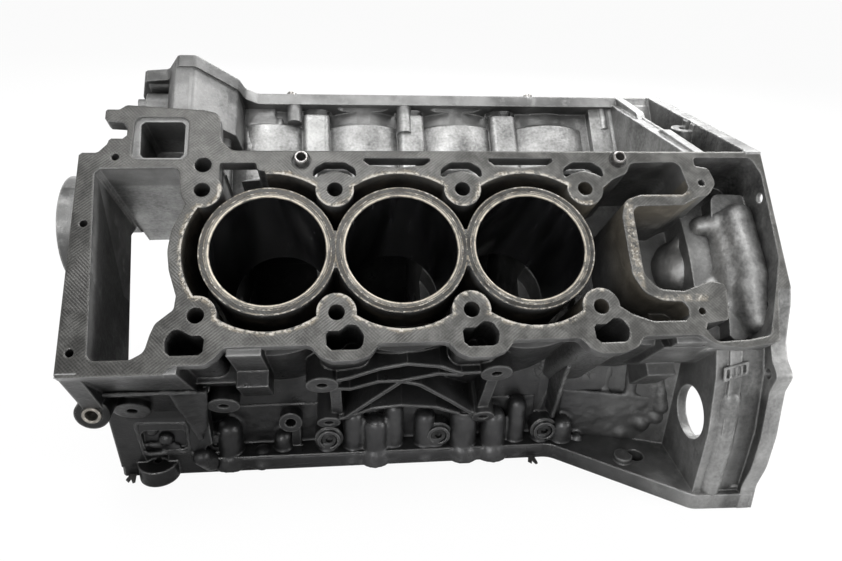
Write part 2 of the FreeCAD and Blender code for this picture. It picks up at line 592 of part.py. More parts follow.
RIBS = [
    [(36, 74), (56, 81), (80, 96), (101, 103), (126, 97), (144, 84), (172, 85)],
    [(36, 66), (58, 62), (80, 74), (98, 74), (127, 84.7), (146, 81)],
    [(40, -1), (54, 4), (74, 36), (98, 73)],
    [(98, 73), (113, 66), (140, 34), (162, 6), (174, -1)],
    [(54, 3), (76, 22), (101, 26.5), (130, 20), (152, 4)],
    [(46, 66), (47, 4)],
    [(173.5, 84), (173.5, 4)],
]
PADS = [(36.4, 74, 12.5, 40), (39.6, -1, 10.0, 30), (172, 85, 12.5, 40), (174.5, -1, 10.0, 30)]
for s, t in ((-1, "near"), (1, "far")):
    for i, (x, up, r, deep) in enumerate(PADS):
        w = 147 + up * math.sin(TILT)
        z = -8 + up * math.cos(TILT)
        case.append(stub("%s_pad%d" % (t, i), s, x, w, z, r, deep))
    for i, path in enumerate(RIBS):
        if s > 0 and i in (1, 4):
            continue
        wide = 3.6 if i < 5 else 9.0
        low = 1.5 if i < 5 else 6.0
        deep = 37.0
        pl = tilted(s, 0, 147, -8)
        n = pl.Rotation.multVec(V3(0, 0, 1))
        base = pl.Base - n * (deep + low)
        flipped = [(x, up if s < 0 else up) for x, up in path]
        up_sign = 1.0 if pl.Rotation.multVec(V3(0, 1, 0)).z > 0 else -1.0
        pts = strip([(x, up * up_sign) for x, up in flipped], wide)
        case.append(plane_slab("%s_rib%d" % (t, i), pts, FreeCAD.Placement(base, pl.Rotation), deep))
    case.append(stub(t + "_acc0", s, -113, 168, 27, 14.0, 34))
    case.append(stub(t + "_acc1", s, -44, 162, 24, 13.0, 40))
    turn = TO_MINUS_Y if s < 0 else TO_Y
    case.append(rod(t + "_lug", "frontx + 5", num(s * 150.0), "42", "13", "41", turn))
    pts = [(s * 224, 100), (s * 190, 45), (s * 170, 40), (s * 212, 104)]
    case.append(slab(t + "_gusset", pts, "frontx", "frontx + 14", turn=ALONG_X))
    # leaning rib behind the cross bolts
    pts = [(228, -34), (233, -34), (262, 60), (254, 60)]
    pl = FreeCAD.Placement(V3(0, s * (113.0 if s > 0 else 124.0), 0), TO_MINUS_Y)
    sk_pts = [(a, b) for a, b in pts]
    case.append(plane_slab(t + "_lean", sk_pts, FreeCAD.Placement(V3(0, s * 112.0 if s < 0 else 124.0, 0), TO_MINUS_Y),
                           12.0))
    # leaning rib of the chain case
    pts = [(-86, 44), (-78, 44), (-66, -30), (-71, -30)]
    case.append(plane_slab(t + "_caserib", pts, FreeCAD.Placement(V3(0, s * 112.0 if s < 0 else 142.0, 0), TO_MINUS_Y),
                           30.0))
# front boss, valley web, rear rim and the ring boss between them
case.append(rod("frontboss", "frontx - 15", "-98", "153", "42", "17", TO_X))
case.append(rod("frontbosstwo", "frontx - 15", "98", "153", "42", "17", TO_X))
case.append(rod("towerboss0", "-128", "82", "232", "9", "34", TO_X))
case.append(rod("towerboss1", "-128", "62", "214", "12.5", "46", TO_X))
case.append(rod("towerboss2", "-139", "70", "214", "5.5", "30", TO_X))
case.append(slab("centrewall", [(-104, 219), (-100, 130), (100, 130), (104, 219), (60, 190), (20, 178), (-20, 178),
                                (-60, 190)], "frontx", "frontx + 12", 6.0, ALONG_X))
case.append(slab("valleyweb", [(-106, 214), (-20, 216, 6), (-4, 208, 4), (30, 208, 4), (44, 217, 4), (106, 219),
                               (60, 110), (-60, 110)], "housingx + 5", "housingx + 13", turn=ALONG_X))
case.append(box("rearrim", "rearx - 13", "rearx", "(-106)", "(106)", "(170)", "decktall * 0.96 - 0.05"))
case.append(box("rearfloor", "housingx + 6", "rearx - 2", "(-106)", "(106)", "(176)", "(187)"))
whole = join("case_solid", case + [near, far])

# Openings of the crankcase side.
tools = [near_cavity, far_cavity]
gap = slab("reargap", [(-106, 227), (-97, 213), (-70, 186), (70, 186), (97, 213), (106, 227)], "housingx + 13",
           "rearx - 12", turn=ALONG_X)
tools.append(cut("rearpocket", gap, rod("ringboss", "382", "0", "182", "12", "36")))
for k in range(4):
    x0 = num(MAINS[k] + 9.0)
    x1 = num(MAINS[k + 1] - 9.0)
    tools.append(slab("bay%d" % k, [(-112, -70), (-112, 22, 10), (-98, 42, 8), (-36, 104, 8), (36, 104, 8),
                                    (98, 42, 8), (112, 22, 10), (112, -70)], x0, x1, turn=ALONG_X))
tools.append(slab("railopen", [(-125, 0), (-125, 131, 4), (-70, 131, 4), (-68, 112, 4), (MAINS[4] - 10, 112, 4),
                               (MAINS[4] - 10, -112, 4), (-68, -112, 4), (-70, -131, 4), (-125, -131, 4)],
                  "railz - 5", "railz + railthick + 0.5"))
for k in range(4):
    x = num(MAINS[k])
    tools.append(box("capseat%d" % k, x + " - 14", x + " + 14", "-capwide - 0.3", "capwide + 0.3", "railz - 5", "0"))
for k in range(4):
    for s in (-1, 1):
        tools.append(rod("studhole%d%s" % (k, "n" if s < 0 else "f"), num(MAINS[k]), num(s * 47.0), "-5",
                         "mainboltr + 0.2", "51"))
tools.append(rod("tunnel", "-80", "0", "0", "tunnelr", "80 + %s" % num(MAINS[3] + 20.0), TO_X))
tools.append(rod("sealbore", num(MAINS[3] + 20.0), "0", "0", "sealr", "housingx - %s + 20" % num(MAINS[3] + 20.0),
                 TO_X))
tools.append(slab("caseroom", [(-133, -70), (-141, 14, 8), (-118, 60, 8), (-52, 108, 10), (52, 108, 10),
                               (118, 60, 8), (141, 14, 8), (133, -70)], "(-125)", "-70", turn=ALONG_X))
tools.append(slab("frontopen", [(-132, -70), (-139, 16, 6), (-160, 40), (-90, 101), (-35, 124, 10), (0, 112, 10),
                                (35, 124, 10), (90, 101), (160, 40), (139, 16, 6), (132, -70)], "frontx - 2", "-124",
                  turn=ALONG_X))
tools.append(rod("bellroom", "housingx + 8", "0", "0", "housingr", "80", TO_X))
tools.append(box("bellfoot", "housingx + 8", "rearx + 5", "-housingr", "housingr", "railz - 5", "0"))
tools.append(rod("starter", "housingx - 30", "-startery", "starterz", "starterr", "90", TO_X))
tools.append(rod("starterroom", "housingx + 8", "-startery", "starterz", "starterr + 5", "90", TO_X))
tools.append(rod("ringhole", "382", "0", "194", "5", "40"))
for s, t in ((-1, "near"), (1, "far")):
    for k in range(3):
        x = "pitch * %d" % k + (" - stagger" if s > 0 else "")
        turn = FreeCAD.Rotation(V3(1, 0, 0), -45.0 * s)
        d = turn.multVec(V3(0, 0, 1))
        for part, r, low, tall in (("clear", "borer", 36, "40"), ("seat", "borer + linerwall + linergap", 2, "42")):
            o = rod("%s_%s%d" % (t, part, k), x, "0", "0", r, tall)
            o.Placement.Rotation = turn
            o.setExpression("Placement.Base.y", e("%.5f * (decktall - bankdeep - %d)" % (d.y, low)))
            o.setExpression("Placement.Base.z", e("%.5f * (decktall - bankdeep - %d)" % (d.z, low)))
            tools.append(o)
    turn = TO_MINUS_Y if s < 0 else TO_Y
    for k in range(4):
        x = num(MAINS[k])
        tools.append(rod("%s_crossroom%d" % (t, k), x, num(s * 130.5), "crossz", "7.4", "20", turn))
        tools.append(rod("%s_crosshole%d" % (t, k), x, num(s * 90.0), "crossz", "crossboltr + 0.2", "60", turn))
    tools.append(rod(t + "_taphole", "6", num(s * 119.0), "-16", "4.5", "20", turn))
    tools.append(rod(t + "_lughole", "frontx + 5", num(s * 140.0), "42", "7.2", "60", turn))
    tools.append(rod(t + "_railhole", "313", num(s * 164.0), "railz - 5", "7.5", "25"))
    for i, (x, y, r, top) in enumerate(COLUMNS):
        if r > 7.2:
            tools.append(rod("%s_sump%d" % (t, i), num(x), num(s * y), "railz - 1", "3.4", "20"))
    for i, (x, up, r, deep) in enumerate(PADS):
        w = 147 + up * math.sin(TILT)
        z = -8 + up * math.cos(TILT)
        n = tilted(s, x, w, z).Rotation.multVec(V3(0, 0, 1))
        c = V3(x, s * w, z) + n * 1.0
        tools.append(stub("%s_padhole%d" % (t, i), s, x, abs(c.y), c.z, 4.2, 24))
    for i, (x, w, z) in enumerate(((-113, 168, 27), (-44, 162, 24))):
        n = tilted(s, x, w, z).Rotation.multVec(V3(0, 0, 1))
        c = V3(x, s * w, z) + n * 1.0
        tools.append(stub("%s_acchole%d" % (t, i), s, x, abs(c.y), c.z, 4.2, 24))
# pocket and bowl in the side of the chain case
for s, t in ((-1, "near"), (1, "far")):
    pts = [(-117, -8, 5), (-79, -8, 5), (-81, -31, 5), (-116, -32, 5)]
    tools.append(plane_slab(t + "_casepocket", pts,
                            FreeCAD.Placement(V3(0, -142.0 if s < 0 else 175.0, 0), TO_MINUS_Y), 33.0))
    tools.append(rod(t + "_bowl", "-108", num(s * 150.0), "railz + railthick", "11", "16"))
for name, x, y0, y1 in TABS:
    tools.append(box(name + "_seat", num(x - 3), num(x + 3), num(y0), num(y1), "railz - 1", "railz + tabthick"))
# bell housing bolt holes
BELLBOLTS = [(-208, 70), (-208, -40), (-186, 118), (-125, 186), (208, 70), (208, -40), (186, 118), (125, 186)]
for i, (y, z) in enumerate(BELLBOLTS):
    tools.append(rod("bellbolt%d" % i, "rearx - 20", num(y), num(z), "4.2", "25", TO_X))
block = cut("block_cut", whole, join("case_tools", tools))

XS = -(v("frontx") - 15 + v("rearx")) / 2.0
ZS = -v("railz")
MOVE = FreeCAD.Placement(V3(XS, 0, ZS), FreeCAD.Rotation())
done = []


def settle(obj, label):
    """Move a finished piece into the block's frame and give it its name."""
    obj.Placement = MOVE.multiply(obj.Placement)
    obj.Label = label
    done.append(obj)
    return obj


def turned(name, points, place):
    """A PartDesign revolution of a radius and height outline about its own Z axis."""
    body = doc.addObject("PartDesign::Body", name)
    sk = body.newObject("Sketcher::SketchObject", name + "_profile")
    sk.Placement = FreeCAD.Placement(V3(0, 0, 0), FreeCAD.Rotation(V3(1, 0, 0), 90))
    draw(sk, points, 0.0)
    rev = body.newObject("PartDesign::Revolution", name + "_turn")
    rev.Profile = sk
    rev.ReferenceAxis = (sk, ["V_Axis"])
    rev.Angle = 360.0
    body.Placement = place
    return body


settle(block, "cylinder_block")
for s, t in ((-1, "near"), (1, "far")):
    turn = FreeCAD.Rotation(V3(1, 0, 0), -45.0 * s)
    up = turn.multVec(V3(0, 0, 1))
    across = turn.multVec(V3(0, 1, 0))
    shift = v("stagger") if s > 0 else 0.0
    for k in range(3):
        x = P * k - shift
        r0 = v("borer")
        r1 = r0 + v("linerwall")
        z0 = H - v("bankdeep")
        pts = [(r0 + 0.4, z0), (r1, z0), (r1, H), (r0 + 0.8, H), (r0, H - 0.8), (r0, z0 + 0.8)]
        place = FreeCAD.Placement(V3(x, 0, 0), turn)
        settle(turned("%s_liner_%d_body" % (t, k + 1), pts, place), "%s_liner_%d" % (t, k + 1))
    for i, (dx, u) in enumerate(((24.0, -73.0), (P * 2.5 + 30, -73.5))):
        x = (dx - shift) if i == 0 else (dx - shift)
        c = V3(x, 0, 0) + across * (s * u) + up * (H - v("doweltall") + v("dowelproud"))
        r0 = v("dowelholer")
        r1 = v("dowelr")
        t1 = v("doweltall")
        pts = [(r0, 0), (r1, 0), (r1, t1 - 1.2), (r1 - 0.8, t1), (r0 + 0.4, t1), (r0, t1 - 0.5)]
        name = "%s_deck_dowel_%s" % (t, ("front", "rear")[i])
        settle(turned(name + "_body", pts, FreeCAD.Placement(c, turn)), name)

# main caps, their bolts and the cross bolts
for k in range(4):
    x = MAINS[k]
    w = v("capwide")
    d = v("capdeep")
    R = v("tunnelr")
    body = doc.addObject("PartDesign::Body", "main_cap_%d_body" % (k + 1))
    sk = body.newObject("Sketcher::SketchObject", "main_cap_%d_outline" % (k + 1))
    sk.Placement = FreeCAD.Placement(V3(x - v("capthick") / 2, 0, 0), ALONG_X)
    geo = [Part.LineSegment(V3(-w, 0, 0), V3(-w, -d + 6, 0)), Part.LineSegment(V3(-w, -d + 6, 0), V3(-w + 20, -d, 0)),
           Part.LineSegment(V3(-w + 20, -d, 0), V3(w - 20, -d, 0)),
           Part.LineSegment(V3(w - 20, -d, 0), V3(w, -d + 6, 0)),
           Part.LineSegment(V3(w, -d + 6, 0), V3(w, 0, 0)), Part.LineSegment(V3(w, 0, 0), V3(R, 0, 0)),
           Part.Arc(V3(R, 0, 0), V3(0, -R, 0), V3(-R, 0, 0)), Part.LineSegment(V3(-R, 0, 0), V3(-w, 0, 0))]
    sk.addGeometry(geo, False)
    pad = body.newObject("PartDesign::Pad", "main_cap_%d_pad" % (k + 1))
    pad.Profile = sk
    pad.setExpression("Length", e("capthick"))
    holes = body.newObject("Sketcher::SketchObject", "main_cap_%d_holes" % (k + 1))
    holes.Placement = FreeCAD.Placement(V3(0, 0, 1), FreeCAD.Rotation())
    for s in (-1, 1):
        holes.addGeometry(Part.Circle(V3(x, s * 47.0, 0), V3(0, 0, 1), v("mainboltr") + 0.2), False)
    pocket = body.newObject("PartDesign::Pocket", "main_cap_%d_drill" % (k + 1))
    pocket.Profile = holes
    pocket.Type = "ThroughAll"
    pocket.Midplane = True
    side = body.newObject("Sketcher::SketchObject", "main_cap_%d_sideholes" % (k + 1))
    side.Placement = FreeCAD.Placement(V3(0, 0, 0), TO_MINUS_Y)
    side.addGeometry(Part.Circle(V3(x, v("crossz"), 0), V3(0, 0, 1), v("crossboltr") + 0.2), False)
    drill = body.newObject("PartDesign::Pocket", "main_cap_%d_sidedrill" % (k + 1))
    drill.Profile = side
    drill.Type = "ThroughAll"
    drill.Midplane = True
    settle(body, "main_cap_%d" % (k + 1))
print("settled", len(done))

for k in range(4):
    bolts = []
    for s, t in ((-1, "near"), (1, "far")):
        r = v("mainboltr")
        pts = [(0, -8), (9, -8), (10, -7), (10, -1.6), (11.5, -1.6), (11.5, 0), (r, 0), (r, 92), (r - 1, 93), (0, 93)]
        place = FreeCAD.Placement(V3(MAINS[k], s * 47.0, -v("capdeep")), FreeCAD.Rotation())
        bolts.append(turned("main_bolt_%d_%s" % (k + 1, t), pts, place))
    pair = doc.addObject("Part::Compound", "main_bolts_%d_pair" % (k + 1))
    pair.Links = bolts
    settle(pair, "main_bolts_%d" % (k + 1))
for s, t in ((-1, "near"), (1, "far")):
    bolts = []
    for k in range(4):
        r = v("crossboltr")
        pts = [(0, 0), (r, 0), (r, 47), (7, 47), (7, 54), (6.2, 55), (3.2, 55), (3.2, 51), (0, 50)]
        turn = TO_MINUS_Y if s < 0 else TO_Y
        place = FreeCAD.Placement(V3(MAINS[k], s * 83.5, v("crossz")), turn)
        bolts.append(turned("%s_cross_bolt_%d" % (t, k + 1), pts, place))
    row_of_bolts = doc.addObject("Part::Compound", t + "_cross_bolts_row")
    row_of_bolts.Links = bolts
    settle(row_of_bolts, t + "_cross_bolts")

# torn tabs of the sump gasket
for name, x, y0, y1 in TABS:
    wide = 3.0
    pts = [(x - wide, y1), (x - wide, y0), (x - wide - 1.5, y0 - 5), (x - 1.5, y0 - 8), (x - 0.5, y0 - 4),
           (x + 2.0, y0 - 9), (x + wide + 1.0, y0 - 8), (x + wide, y0), (x + wide, y1)]
    settle(pad_body(name + "_body", pts, "railz", "tabthick"), name)

# steel bush in the front lug
for s, t in ((-1, "near"), (1, "far")):
    turn = TO_MINUS_Y if s < 0 else TO_Y
    pts = [(4.6, 0), (7.0, 0), (7.0, 22.4), (6.4, 23), (5.2, 23), (4.6, 22.4)]
    place = FreeCAD.Placement(V3(v("frontx") + 5, s * 170.0, 42), turn)
    settle(turned(t + "_lug_bush_body", pts, place), t + "_lug_bush")

doc.recompute()

bad = []
for obj in doc.Objects:
    if "Invalid" in obj.State or "Error" in obj.State:
        bad.append(obj.Name)
if bad:
    raise RuntimeError("features that failed: " + ", ".join(bad))
for obj in done:
    shape = obj.Shape
    if shape.isNull() or not shape.isValid():
        raise RuntimeError("not a sound solid: " + obj.Label)
    print(obj.Label, len(shape.Solids), len(shape.Faces), round(shape.Volume / 1000.0, 1))
    shape.exportStep("parts/" + obj.Label + ".step")
b = block.Shape.BoundBox
print("block", b.XMin, b.XMax, b.YMin, b.YMax, b.ZMin, b.ZMax)
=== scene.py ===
import math

import bmesh
import bpy
from mathutils import Matrix, Vector


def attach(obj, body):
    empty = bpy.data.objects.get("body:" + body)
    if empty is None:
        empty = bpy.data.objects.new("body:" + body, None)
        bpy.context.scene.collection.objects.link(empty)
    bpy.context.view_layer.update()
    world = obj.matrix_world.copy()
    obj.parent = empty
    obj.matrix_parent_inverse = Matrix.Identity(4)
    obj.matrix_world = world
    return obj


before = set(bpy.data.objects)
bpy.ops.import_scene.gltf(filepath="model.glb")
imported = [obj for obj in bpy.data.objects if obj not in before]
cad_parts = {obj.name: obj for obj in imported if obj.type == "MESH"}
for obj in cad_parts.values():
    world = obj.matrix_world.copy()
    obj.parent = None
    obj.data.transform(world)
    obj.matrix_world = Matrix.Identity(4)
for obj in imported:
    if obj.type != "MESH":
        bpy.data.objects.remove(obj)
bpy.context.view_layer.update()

bl_info = {
    "name": "Open deck engine block dressing",
    "version": (1, 0, 0),
    "blender": (4, 5, 0),
    "location": "View3D > Sidebar > Block",
    "description": "Finishes, cast details, light and camera for a bare engine block",
    "category": "Object",
}

# The block's own sizes in metres. X runs to the rear, and the bank in view is on the minus Y side.
AHEAD = 0.122        # from bore 1 of the near bank to the middle of the block
RAIL = 0.060         # from the sump rail up to the crank axis
PITCH = 0.098        # bore to bore
DECK = 0.2287        # crank axis to a deck
STAGGER = 0.020      # how far the far bank stands ahead of the near one
LINER = 0.0428       # radius of the inner light ring on a liner
LINER_OUT = 0.0452   # radius of the outer light ring on a liner
BARREL_IN = 0.0458   # inner edge of a barrel's top
BARREL_OUT = 0.0494  # outer edge of a barrel's top
JACKET = 0.0616      # outside wall of the water jacket
BOLT_ROW = 0.0484    # bore line to a row of head bolts
BOLT_BOSS = 0.0144   # radius of a head bolt's boss at the deck
LIP = 0.2775         # middle of the lip between the last bore and the rear box
HALF = math.sqrt(0.5)

# The relief pieces, whose points are in millimetres from the crank axis at bore 1.
FOOT = -58.5         # height at which they stop, just over the floor
UNEVEN = 1.2         # unevenness of their skin, in grid steps


def at_crank(x, y, z):
    """A point measured from the crank axis, in the row frame."""
    return Vector((x - AHEAD, y, z + RAIL))


class BlockSizes(bpy.types.PropertyGroup):
    """Sizes of the surface detail"""
    milling: bpy.props.FloatProperty(name="Milling lines", description="Spacing of the cutter lines on the deck",
                                     default=0.0019, min=0.0005, unit="LENGTH")
    crust: bpy.props.FloatProperty(name="Crust width", description="Width of the deposit round the water jacket",
                                   default=0.0042, min=0.0, unit="LENGTH")
    grain: bpy.props.FloatProperty(name="Cast grain", description="Height of the grain of the cast skin",
                                   default=0.0004, min=0.0, unit="LENGTH")
    soft_edge: bpy.props.FloatProperty(name="Soft edge", description="Radius that the cast edges are shaded with",
                                       default=0.0022, min=0.0, unit="LENGTH")


class BlockColours(bpy.types.PropertyGroup):
    """Colours of the casting"""
    skin: bpy.props.FloatVectorProperty(name="Cast skin", description="Aged aluminium casting", subtype="COLOR",
                                        size=3, min=0.0, max=1.0, default=(0.150, 0.150, 0.148))
    # lighter casting of the valley, partly painted light; also the colour of the lighter edges
    bright: bpy.props.FloatVectorProperty(name="Clean casting", description="Cleaner casting of the valley",
                                          subtype="COLOR", size=3, min=0.0, max=1.0, default=(0.34, 0.34, 0.335))
    deck: bpy.props.FloatVectorProperty(name="Deck", description="Machined deck", subtype="COLOR",
                                        size=3, min=0.0, max=1.0, default=(0.092, 0.091, 0.087))
    crust: bpy.props.FloatVectorProperty(name="Crust", description="Dried coolant and gasket deposit",
                                         subtype="COLOR", size=3, min=0.0, max=1.0, default=(0.42, 0.36, 0.27))
    # dark of the lower side: partly an oil film and partly painted shade
    oil: bpy.props.FloatVectorProperty(name="Oil film", description="Black oil film of the lower side",
                                       subtype="COLOR", size=3, min=0.0, max=1.0, default=(0.040, 0.040, 0.041))


# Shader maths.


class Value:
    """A shader socket. Maths on it adds the nodes that work it out."""

    def __init__(self, recipe, socket):
        self.recipe = recipe
        self.socket = socket

    def maths(self, operation, *others):
        inputs = {i: other for i, other in enumerate((self,) + others)}
        return self.recipe.node("ShaderNodeMath", {"operation": operation}, inputs)

    def __add__(self, other):
        return self.maths("ADD", other)

    __radd__ = __add__

    def __sub__(self, other):
        return self.maths("SUBTRACT", other)

    def __rsub__(self, other):
        return self.recipe.node("ShaderNodeMath", {"operation": "SUBTRACT"}, {0: other, 1: self})

    def __mul__(self, other):
        return self.maths("MULTIPLY", other)

    __rmul__ = __mul__

    def __truediv__(self, other):
        return self.maths("DIVIDE", other)

    def __pow__(self, other):
        return self.maths("POWER", other)

    def __abs__(self):
        return self.maths("ABSOLUTE")

    def above(self, limit):
        return self.maths("GREATER_THAN", limit)

    def below(self, limit):
        return self.maths("LESS_THAN", limit)

    def least(self, other):
        return self.maths("MINIMUM", other)

    def most(self, other):
        return self.maths("MAXIMUM", other)

    def ease(self, start, end):
        """0 at start and 1 at end, smooth between them. start may be the larger."""
        return self.recipe.node("ShaderNodeMapRange", {"interpolation_type": "SMOOTHSTEP"},
                                {"Value": self, "From Min": start, "From Max": end})


class Recipe:
    """A material or a world that is built from nodes."""

    def __init__(self, name, kind="materials"):
        self.data = getattr(bpy.data, kind).new(name)
        self.data.use_nodes = True
        self.tree = self.data.node_tree
        self.tree.nodes.clear()

    def node(self, kind, settings=None, inputs=None, out=0):
        """Add a node with its settings, then its inputs, and give the socket that is asked for."""
        made = self.tree.nodes.new(kind)
        for key, setting in (settings or {}).items():
            setattr(made, key, setting)
        for key, value in (inputs or {}).items():
            if isinstance(value, Value):
                self.tree.links.new(value.socket, made.inputs[key])
            else:
                made.inputs[key].default_value = value
        return Value(self, made.outputs[out]) if made.outputs else made

    def mix(self, share, a, b):
        """Colour a where share is 0 and b where it is 1."""
        a = a if isinstance(a, Value) else tuple(a)[:3] + (1.0,)
        b = b if isinstance(b, Value) else tuple(b)[:3] + (1.0,)
        return self.node("ShaderNodeMix", {"data_type": "RGBA"}, {0: share, 6: a, 7: b}, 2)

    def dim(self, colour, amount):
        """A colour times a number."""
        return self.node("ShaderNodeVectorMath", {"operation": "SCALE"}, {0: colour, "Scale": amount})

    def vector(self, operation, a, b, out=0):
        return self.node("ShaderNodeVectorMath", {"operation": operation}, {0: a, 1: b}, out)

    def split(self, vector):
        made = self.node("ShaderNodeSeparateXYZ", None, {0: vector})
        node = made.socket.node
        return [Value(self, node.outputs[i]) for i in range(3)]

    def shades(self, colour, *shares):
        """The same colour at several strengths."""
        return [tuple(c * share for c in colour) for share in shares]

    def noise(self, place, scale, detail=3.0, rough=0.55):
        return self.node("ShaderNodeTexNoise", None,
                         {"Vector": place, "Scale": scale, "Detail": detail, "Roughness": rough}, "Fac")

    def bump(self, strength, distance, height, soft=None):
        """Fine relief in the shading, over edges that are already softened."""
        inputs = {"Strength": strength, "Distance": distance, "Height": height}
        if soft is not None:
            inputs["Normal"] = soft
        return self.node("ShaderNodeBump", None, inputs)

    def soft_edges(self, radius, samples):
        """Rounded edges in the shading."""
        return self.node("ShaderNodeBevel", {"samples": samples}, {"Radius": radius})

    def finish(self, colour, rough, metal, normal):
        """Join the surface to the output."""
        surface = self.node("ShaderNodeBsdfPrincipled", None,
                            {"Base Color": colour, "Roughness": rough, "Metallic": metal, "Normal": normal})
        self.node("ShaderNodeOutputMaterial", None, {"Surface": surface})
        return self.data


def block_places(r):
    """Where a point of the block is: its position, and its place on the nearer bank."""
    position = r.node("ShaderNodeNewGeometry", None, None, "Position")
    facing = r.node("ShaderNodeNewGeometry", None, None, "Normal")
    x, y, z = r.split(position)
    ny, nz = r.split(facing)[1:]
    side = y.maths("SIGN")
    ahead = x + AHEAD + (side + 1.0) * (STAGGER / 2)
    high = z - RAIL
    wide = abs(y)
    h = (wide + high) * HALF
    across = (wide - high) * HALF
    return {
        "position": position, "facing": facing, "x": x + AHEAD, "y": y, "z": high, "along": ahead,
        "across": across, "depth": DECK - h, "up": (ny * side + nz) * HALF, "wide": wide,
    }


def bore_distance(p):
    """Distance in the deck's plane to the axis of the nearest of the three bores."""
    nearest = (p["along"] / PITCH).maths("ROUND").most(0.0).least(2.0)
    dx = p["along"] - nearest * PITCH
    return (dx * dx + p["across"] * p["across"]) ** 0.5


def bolt_turn(p):
    """How far along the crank the nearest pair of head bolts is, in steps from bore to bore."""
    turns = p["along"] / PITCH + 0.5
    return turns - turns.maths("ROUND")


def bolt_distance(p):
    """Distance in the deck's plane to the axis of the nearest head bolt."""
    dx = bolt_turn(p) * PITCH
    dy = abs(p["across"]) - BOLT_ROW
    return (dx * dx + dy * dy) ** 0.5


def passage_edge(p, wander):
    """1 along the lip between the last bore and the rear box, where the gasket sat."""
    lip = abs(p["along"] - LIP + wander * 0.3).ease(0.0055, 0.002) * abs(p["across"]).below(0.040)
    arms = abs(abs(p["across"]) - 0.0435 + wander * 0.3).ease(0.004, 0.001)
    arms = arms * p["along"].ease(0.276, 0.284) * p["along"].ease(0.334, 0.326)
    return (lip + arms) * 0.55


